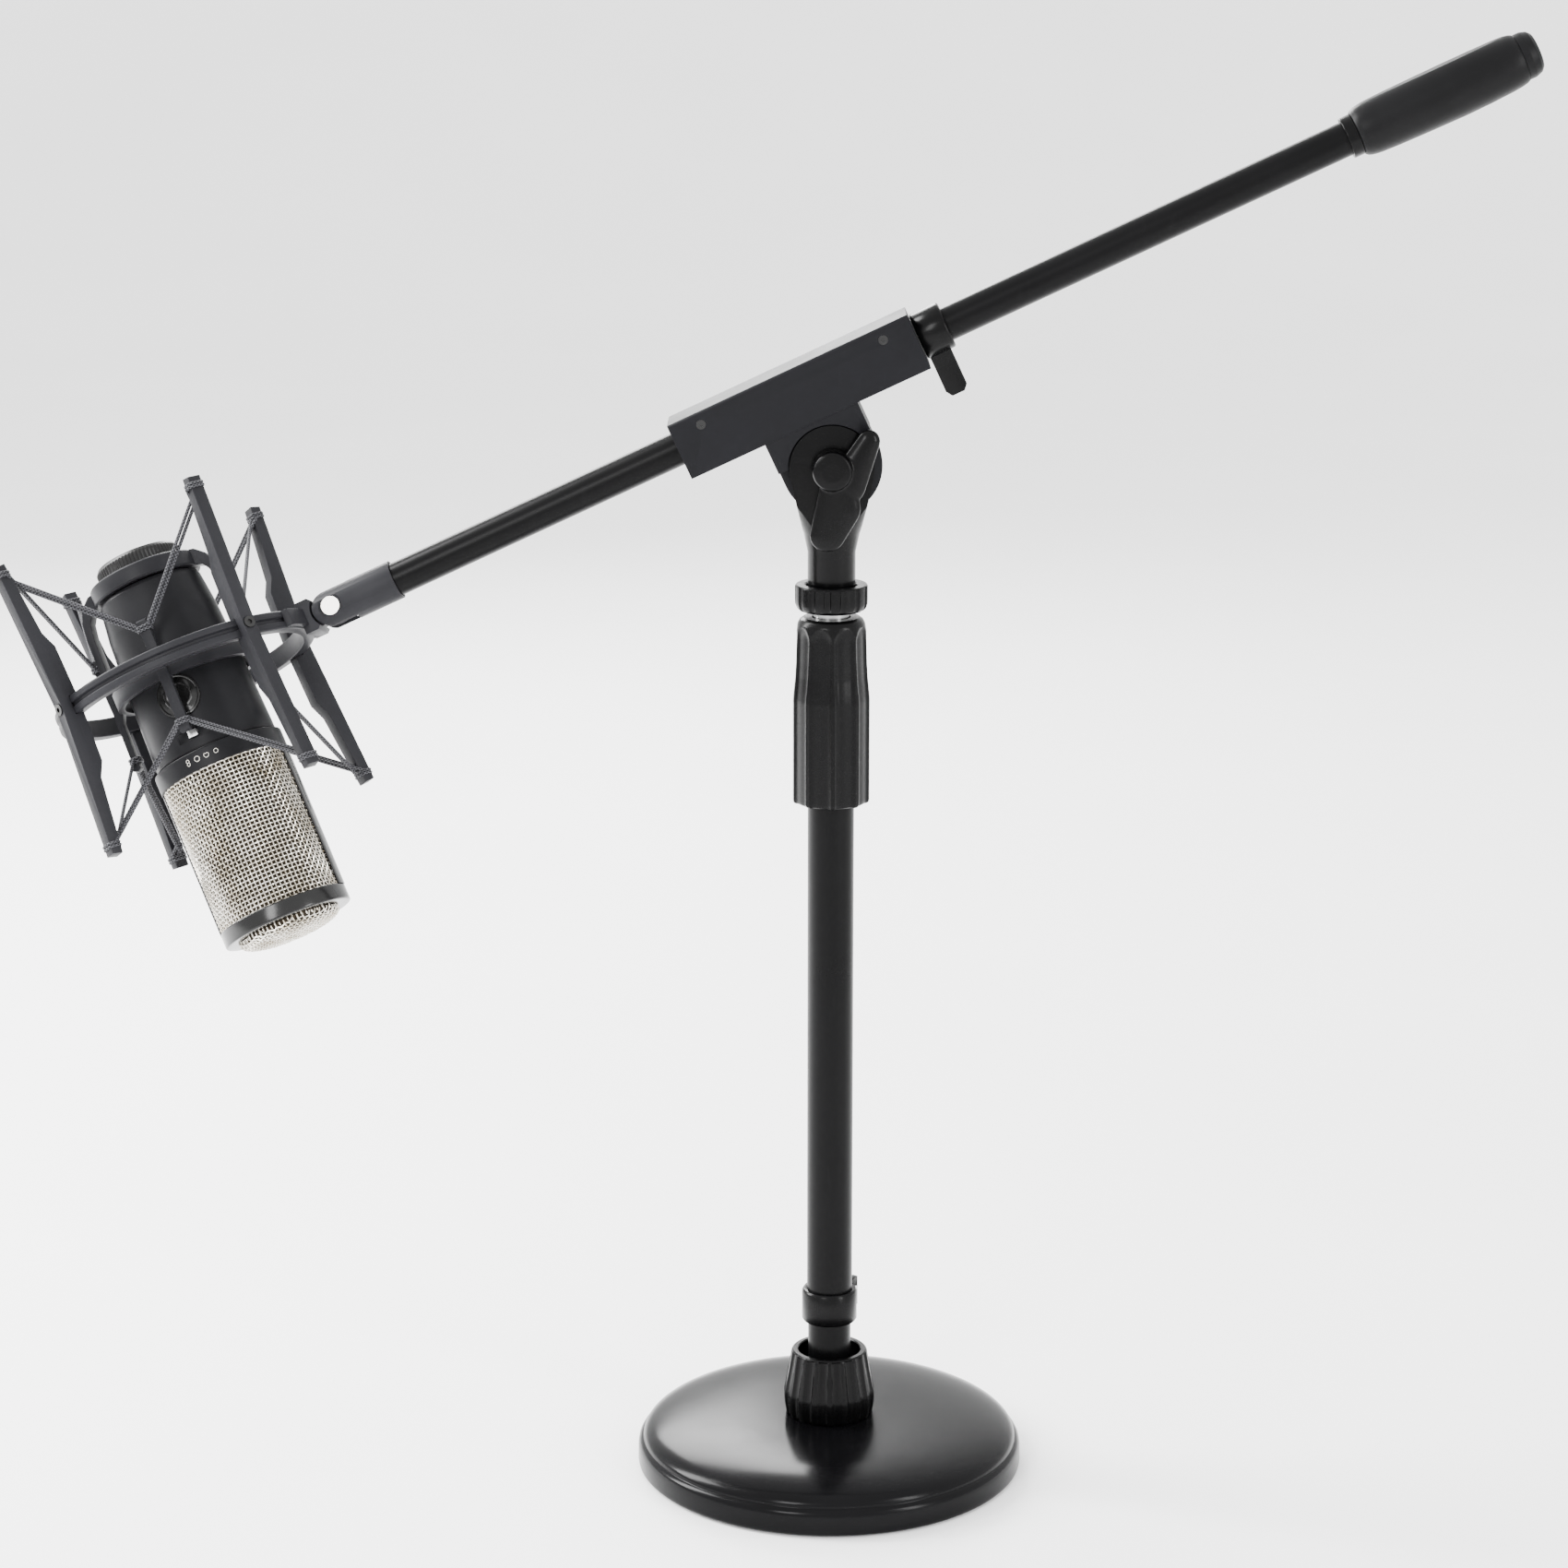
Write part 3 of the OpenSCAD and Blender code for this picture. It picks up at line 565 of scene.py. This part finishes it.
def make_wing_knob():
    low, high = span("wing_knob", AT_PIVOT)
    front = low.y
    hub = [(r * math.cos(t), y, r * math.sin(t)) for t in (2 * math.pi * k / 48 for k in range(48))
           for r, y in ((9.3, high.y), (9.4, front + 2.2), (8.4, front + 0.5), (5, front))]
    mid = -19.4
    wing = ellipsoid(3, mid, -8, 9, 3.6, 9) + ellipsoid(4.6, mid, -18, 8.6, 3.2, 8.6)
    wing += ellipsoid(-2.2, mid, -30.4, 8.2, 2.8, 7.6)
    ear = ellipsoid(6.5, mid, -7, 9, 3.5, 9) + ellipsoid(16.6, mid, 13.6, 5.4, 3.0, 5.4)
    verts, faces = blob([hub, wing, ear])
    obj = piece("wing_knob_body", verts, faces, AT_PIVOT)
    remesh = obj.modifiers.new("skin", "REMESH")
    remesh.mode = "VOXEL"
    remesh.voxel_size = 0.45 * MM
    relax = obj.modifiers.new("relax", "SMOOTH")
    relax.factor = 0.5
    relax.iterations = 7
    apply_modifiers(obj)
    smooth(obj.data, 60)
    stands_for(obj, "wing_knob")


def make_head():
    stands_for(softened("head_fork", 1.1, 40, 4), "head_fork")
    stands_for(softened("clamp_block", 0.55, 40, 3), "clamp_block")
    stands_for(softened("clamp_lever", 0.6, 40, 3), "clamp_lever")
    stands_for(softened("foot_collar", 0.45, 40, 3), "foot_collar")
    stands_for(softened("adapter_sleeve", 0.5, 40, 3), "adapter_sleeve")


def make_boom():
    low, high = span("boom_tube", ALONG_BOOM)
    radius = high.y
    wall = [(radius, low.z), (radius, high.z), (radius - 1.5, high.z), (radius - 1.5, low.z)]
    stands_for(lathe("boom_main_tube", fine(wall, 40), ALONG_BOOM, 96), "boom_tube")
    low, high = span("boom_grip", ALONG_BOOM)
    end = low.z - 2
    sides = [(10.2, 2), (11.0, 2.9), (11.6, 4.6), (12.0, 6.6), (12.3, 9), (12.75, 18), (13.1, 32),
             (13.4, 50), (13.2, 62), (12.75, 73), (12.3, 78), (11.8, 80.6), (11.2, 82)]
    outline = [(8.05, 82), (8.05, 2)] + sides
    flat = 12.35

    def shape(r, z, turn):
        facing = math.cos(turn - math.pi)
        return min(r, flat / facing) if facing > 0.5 and r > 9 else r
    body = [(r, z + end) for r, z in fine(outline, 2.5)]
    stands_for(lathe("rubber_grip", body, ALONG_BOOM, 160, shape, 24), "boom_grip")
    low, high = span("grip_cap", ALONG_BOOM)
    start = low.z
    cap = rounded([(8.1, 0), (10.9, 0), (10.9, 3.4), (9.9, 6.5), (8, 8.2), (0, 8.6), (0, 2), (8.1, 2)],
                  {1: 0.4, 2: 2.0, 3: 1.6, 4: 1.6})
    stands_for(lathe("grip_end_cap", [(r, z + start) for r, z in cap], ALONG_BOOM, 96), "grip_cap")
    low, high = span("grip_collar", ALONG_BOOM)
    ring = rounded([(8.05, low.z), (9.7, low.z), (9.7, high.z), (8.05, high.z)], {1: 0.6, 2: 0.4})
    stands_for(lathe("grip_neck_ring", ring, ALONG_BOOM, 96), "grip_collar")


# ---- shock mount ------------------------------------------------------------
def make_shock_mount():
    for node in ("yoke", "front_left_bar", "front_right_bar", "rear_left_bar", "rear_right_bar"):
        stands_for(softened(node, 0.7, 40, 3), node)
    stands_for(softened("cradle", 0.7, 40, 3), "cradle")
    high = span("outer_ring", MOUNT)[1]
    r, h = high.x, high.z
    outline = rounded([(r - 6, -h), (r, -h), (r, -1.1), (r - 1.5, -0.5), (r - 1.5, 0.8), (r, 1.5),
                       (r, h), (r - 6, h)], {0: 0.8, 1: 1.3, 2: 0.5, 5: 0.5, 6: 1.3, 7: 0.8})
    stands_for(lathe("ring_band", outline, MOUNT, 200), "outer_ring")


CORD_R = 0.85
LOOP_R = 0.75
BAR_ANGLES = (-135, -45, 135, 45)
HOOK_ANGLES = (0, 90, 180, 270)
BAR_TIP = 68.2
TOP_HOOK, LOW_HOOK = 20.5, -26.6


def polar(radius, degrees, z):
    """A point of the mount frame from its radius, turn and height."""
    a = math.radians(degrees)
    return Vector((radius * math.cos(a), radius * math.sin(a), z))


def loop_round(centre, side, out, half_side, half_out, steps=20):
    """A closed rounded loop about a post, in the plane of two directions."""
    def squared(t):
        return math.copysign(abs(t) ** 0.6, t)
    return [centre + side * half_side * squared(math.cos(t)) + out * half_out * squared(math.sin(t))
            for t in (2 * math.pi * k / steps for k in range(steps))]


def elastic_run(name, node, start, end, outward):
    """Two cords side by side from a bar's tip to a hook."""
    across = (end - start).normalized().cross(outward).normalized()
    paths = []
    for side in (-1, 1):
        near = start + across * side * 1.05
        away = end + across * side * 0.95
        paths.append([near + (away - near) * s / 12 for s in range(13)])
    cord = tubes(name, paths, CORD_R, MOUNT, 10)
    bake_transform(cord)
    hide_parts(node)
    dress(cord, "elastic_cord")


def loops(name, body, radius, angles, heights, half_side, half_out):
    """Two turns of cord round each post that stands at these angles, at these heights."""
    wraps = [loop_round(polar(radius, a, z + shift), polar(1, a + 90, 0), polar(1, a, 0),
                        half_side, half_out)
             for a in angles for z in heights for shift in (-LOOP_R, LOOP_R)]
    belongs_to(tubes(name, wraps, LOOP_R, MOUNT, 10, closed=True), body, "elastic_cord")


def make_elastics():
    hook_radius = span("cradle", MOUNT)[1].x
    ends = (("upper_elastic", BAR_TIP, TOP_HOOK), ("lower_elastic", -BAR_TIP, LOW_HOOK))
    for node, bar_z, hook_z in ends:
        for i, bar in enumerate(BAR_ANGLES):
            for k, turn in enumerate((-45, 45)):
                start = polar(69.6, bar - turn * 0.055, bar_z)
                end = polar(hook_radius - 2.2, bar + turn - turn * 0.075, hook_z)
                elastic_run(f"{node}_{i}{k}", node, start, end, polar(1, bar, 0))
    loops("elastic_bar_loops", "shock_frame", 70.6, BAR_ANGLES, (BAR_TIP, -BAR_TIP), 3.75, 3.1)
    loops("elastic_hook_loops", "cradle", hook_radius - 3, HOOK_ANGLES, (TOP_HOOK, LOW_HOOK), 3.2, 2.6)


def make_clamp_nut():
    low, high = span("clamp_nut", MOUNT)
    edge = 20.5
    outline = [(17.35, low.z), (edge, low.z), (edge, high.z - 2.0), (19.1, high.z), (17.35, high.z)]

    def shape(r, z, turn):
        ridge = abs(((turn * 72 / (2 * math.pi)) % 1) - 0.5) * 2
        inside = low.z + 0.3 < z < high.z - 1.7 and r > 20
        return r - 0.42 * (1 - ridge ** 1.5) if inside else r
    stands_for(lathe("knurled_nut", fine(outline, 0.8), MOUNT, 576, shape, 50), "clamp_nut")


# ---- microphone -------------------------------------------------------------
def body_radius(z):
    """Outer radius of the microphone's body at a height in the mount frame."""
    stations = [(-39, 29.5), (-34, 29.4), (0, 28.3), (28, 26.8), (43.6, 25)]
    for (z1, r1), (z2, r2) in zip(stations, stations[1:]):
        if z <= z2:
            return r1 + (r2 - r1) * (z - z1) / (z2 - z1)
    return stations[-1][1]


MESH_PITCH = 2.1
WIRE_R = 0.38
WAVE = 0.42


def liner(name, outline, steps):
    """A fine inner screen behind the woven wires, in a near-black colour that is painted shade."""
    screen = lathe(name, outline, MOUNT, steps)
    belongs_to(screen, "microphone", "wire_mesh")
    # The screen's near-black material is painted shade, seen between the wires.
    screen.data.materials[0] = painted_shade_liner_material()


def weave(phase):
    """How far a wire stands in or out where it crosses the others, phase in half waves."""
    return WAVE * math.cos(math.pi * phase)


def make_grille_wall():
    """The round wall of the grille: wires along it, hoops round it and a screen inside."""
    low, high = span("grille_mesh", MOUNT)
    radius = high.x - WIRE_R - WAVE - 0.02
    bottom, top = low.z + 0.2, high.z - 0.2
    around = 2 * round(math.pi * radius / MESH_PITCH)
    rows = round((top - bottom) / MESH_PITCH)
    pitch = (top - bottom) / rows
    lengthwise = [[polar(radius + weave(k / 2 + i), 360 * i / around, bottom + pitch * k / 2)
                   for k in range(2 * rows + 1)] for i in range(around)]
    stands_for(tubes("grille_long_wires", lengthwise, WIRE_R, MOUNT, 5), "grille_mesh")
    hoops = [[polar(radius - weave(k / 2 + j), 180 * k / around, bottom + pitch * j)
              for k in range(2 * around)] for j in range(rows + 1)]
    stands_for(tubes("grille_hoops", hoops, WIRE_R, MOUNT, 5, closed=True), "grille_mesh")
    face, back = radius - 1.6, radius - 1.8
    liner("grille_liner", [(face, bottom), (face, top), (back, top), (back, bottom)], 96)


def make_grille_dome():
    """The woven cap on the end of the grille, and its screen."""
    low, high = span("grille_dome", MOUNT)
    rim = 25.0 - WIRE_R
    depth = high.z - low.z - 2 * WIRE_R - WAVE
    roundness = 3.33

    def on_cap(x, y, lift):
        share = min(1.0, math.hypot(x, y) / rim)
        drop = math.sqrt(max(0.0, 1 - share ** roundness))
        return (x, y, high.z - WIRE_R - depth * drop + lift)
    paths = []
    steps = int(rim / MESH_PITCH)
    for i in range(-steps, steps + 1):
        c = i * MESH_PITCH
        reach = math.sqrt(rim ** 2 - c ** 2)
        count = max(2, int(reach / (MESH_PITCH / 2)))
        along = [reach * math.sin(math.pi / 2 * k / count) for k in range(-count, count + 1)]
        paths.append([on_cap(c, d, weave(d / MESH_PITCH + i)) for d in along])
        paths.append([on_cap(d, c, -weave(d / MESH_PITCH + i)) for d in along])
    stands_for(tubes("dome_wires", paths, WIRE_R, MOUNT, 5), "grille_dome")
    base = high.z - depth
    edge = rim - 0.6
    liner("dome_liner", [(0, base + 1.4), (rim * 0.6, base + 1.7), (rim * 0.88, base + 3),
                         (edge, high.z - 0.6), (edge, high.z), (rim * 0.8, base + 3.2),
                         (0, base + 1.8)], 64)


def painted_shade_liner_material():
    """Fine inner screen of warm brass wire, seen through the grille; its colour is kept near black as painted
    shade for the dark inside of the grille between the wires.
    """
    if "inner_screen_painted_shade" in bpy.data.materials:
        return bpy.data.materials["inner_screen_painted_shade"]
    n = Nodes("inner_screen_painted_shade")
    small = n.noise(2400, 1.0).outputs["Fac"]
    # The near-black warm colour is painted shade: it stands for the shade inside the grille between the wires.
    return n.set(Base_Color=n.ramp(small, (0.004, 0.003, 0.002), (0.05, 0.038, 0.02)), Metallic=0.8,
                 Roughness=n.ramp(small, 0.4, 0.6), Normal=n.bump(small, 0.6, 0.0002))


def make_mic_shells():
    low, high = span("mic_collar", MOUNT)
    top, bottom = -40.0, -49.0
    outline = rounded([(26.6, bottom), (31.5, bottom), (31.5, top), (29, top), (29, -39.05), (27.2, -39.05),
                       (27.2, high.z), (26.6, high.z)], {1: 0.5, 2: 0.8})
    stands_for(lathe("mic_collar_ring", outline, MOUNT, 160), "mic_collar")
    low, high = span("grille_band", MOUNT)
    outline = rounded([(24, low.z), (31, low.z), (31, high.z), (24, high.z)], {1: 1.1, 2: 0.7})
    stands_for(lathe("grille_end_band", outline, MOUNT, 160), "grille_band")


def make_side_rails():
    """Two curved strips that cover the seams of the wire mesh."""
    low, high = span("side_rails", MOUNT)
    inner, outer, half = 30.6, 31.45, 0.17
    steps = 14
    for name, middle in (("side_rail_near_stand", 0), ("side_rail_far", math.pi)):
        verts, faces = [], []
        for k in range(steps + 1):
            turn = middle - half + 2 * half * k / steps
            edge = outer - 0.35 * abs(2 * k / steps - 1) ** 6
            for r, z in ((inner, low.z), (edge, low.z), (edge, high.z), (inner, high.z)):
                verts.append((r * math.cos(turn), r * math.sin(turn), z))
        for k in range(steps):
            for c in range(4):
                a, b = 4 * k + c, 4 * k + (c + 1) % 4
                faces.append((a, b, b + 4, a + 4))
        faces += [(0, 1, 2, 3), tuple(4 * steps + c for c in range(4))]
        stands_for(piece(name, verts, faces, MOUNT, 30), "side_rails")


def on_body(across, z, lift):
    """A point on the front of the body: across to the right, at a height, lift above the skin."""
    r = body_radius(z) + lift
    turn = across / body_radius(z) - math.pi / 2
    return (r * math.cos(turn), r * math.sin(turn), z)


def make_badge():
    """Plain disc with a raised rim and a shallow inner ring."""
    rings = [(0, 0.45), (5.2, 0.45), (5.8, 0.8), (6.4, 0.8), (7.0, 0.45), (9.0, 0.45), (9.5, 0.95),
             (10.2, 0.95), (10.5, 0.3), (10.5, -0.4)]
    steps = 96
    verts, faces = [on_body(0, -13, rings[0][1])], []
    for r, lift in rings[1:]:
        for k in range(steps):
            t = 2 * math.pi * k / steps
            verts.append(on_body(r * math.cos(t), -13 + r * math.sin(t), lift))
    faces += [(0, 1 + k, 1 + (k + 1) % steps) for k in range(steps)]
    for ring in range(len(rings) - 2):
        for k in range(steps):
            a, b = 1 + ring * steps, 1 + (ring + 1) * steps
            n = (k + 1) % steps
            faces.append((a + k, b + k, b + n, a + n))
    last = 1 + (len(rings) - 2) * steps
    faces.append(tuple(range(last, last + steps)))
    stands_for(piece("plain_badge", verts, faces, MOUNT, 30), "badge")


def make_marks():
    """Generic pick-up pattern signs on the collar: an eight, a ring, a heart and a smaller ring."""
    skin = 31.5
    paths = []

    def ring(centre, height, radius, dimple=0.0):
        path = []
        for k in range(28):
            t = 2 * math.pi * k / 28
            r = radius * (1 - dimple * max(0.0, math.cos(t - math.pi / 2)) ** 6)
            turn = (centre + r * math.cos(t)) / skin - math.pi / 2
            path.append((skin * math.cos(turn), skin * math.sin(turn), height + r * math.sin(t)))
        paths.append(path)
    for centre, kind in ((-7.2, "eight"), (-2.4, "ring"), (2.4, "heart"), (7.2, "wide")):
        if kind == "eight":
            ring(centre, -43.4, 0.75)
            ring(centre, -44.9, 0.75)
        elif kind == "heart":
            ring(centre, -44.1, 1.2, 0.55)
        else:
            ring(centre, -44.1, 1.25 if kind == "ring" else 1.0)
    marks = tubes("pattern_marks", paths, 0.13, MOUNT, 6, closed=True)
    belongs_to(marks, "microphone", "pale_plastic")


make_base()
make_base_nut()
make_mast()
make_clutch()
make_lock_ring()
make_head()
make_wing_knob()
make_boom()
make_shock_mount()
make_elastics()
make_clamp_nut()
make_mic_shells()
make_side_rails()
make_grille_wall()
make_grille_dome()
make_badge()
make_marks()


# ---- studio -----------------------------------------------------------------
def make_floor():
    """A white paper sweep: flat under the stand, curved up far behind it."""
    n = Nodes("floor_paper")
    tone = n.noise(3, 2.0).outputs["Fac"]
    n.set(Base_Color=n.ramp(tone, grey(0.95), grey(0.97)), Roughness=0.7,
          Normal=n.bump(tone, 0.05, 0.001))
    half, near, far, bend = 9, -9, 4, 3
    line = [(near, 0), (far, 0)]
    line += [(far + bend * math.sin(a), bend - bend * math.cos(a)) for a in
             (math.pi * k / 48 for k in range(1, 25))]
    line.append((far + bend, 9))
    verts = [(x, y, z) for y, z in line for x in (-half, half)]
    faces = [(2 * k, 2 * k + 1, 2 * k + 3, 2 * k + 2) for k in range(len(line) - 1)]
    mesh = bpy.data.meshes.new("floor")
    mesh.from_pydata(verts, [], faces)
    smooth(mesh, 60)
    mesh.materials.append(n.material)
    floor = bpy.data.objects.new("floor", mesh)
    bpy.context.scene.collection.objects.link(floor)


def make_world():
    world = bpy.data.worlds.new("studio")
    bpy.context.scene.world = world
    world.use_nodes = True
    back = world.node_tree.nodes["Background"]
    back.inputs["Color"].default_value = (1, 1, 1, 1)
    back.inputs["Strength"].default_value = 2.5


def make_light(name, place, size, power):
    """A soft box at place, facing the middle of the stand."""
    light = bpy.data.lights.new(name, "AREA")
    light.shape = "RECTANGLE"
    light.size, light.size_y = size
    light.energy = power
    obj = bpy.data.objects.new(name, light)
    obj.location = place
    toward = Vector((-0.03, 0, 0.32)) - Vector(place)
    obj.rotation_euler = toward.to_track_quat("-Z", "Y").to_euler()
    bpy.context.scene.collection.objects.link(obj)


def make_camera():
    """Slightly above the block, looking a little down, as the stand is usually shown."""
    data = bpy.data.cameras.new("camera")
    data.lens = 88.94
    data.sensor_width = 36
    camera = bpy.data.objects.new("camera", data)
    camera.location = (-0.0222, -1.7801, 0.7804)
    camera.rotation_euler = (math.radians(76.2), 0, 0)
    bpy.context.scene.collection.objects.link(camera)
    bpy.context.scene.camera = camera


make_floor()
make_world()
make_light("key", (-1.6, 0.3, 1.3), (0.6, 1.5), 130)
make_light("rim", (-0.5, 1.9, 1.3), (1.0, 0.8), 60)
make_light("fill", (1.5, -1.3, 0.9), (0.35, 1.2), 30)
make_light("front", (-0.9, -1.9, 1.2), (0.5, 0.8), 26)
make_camera()
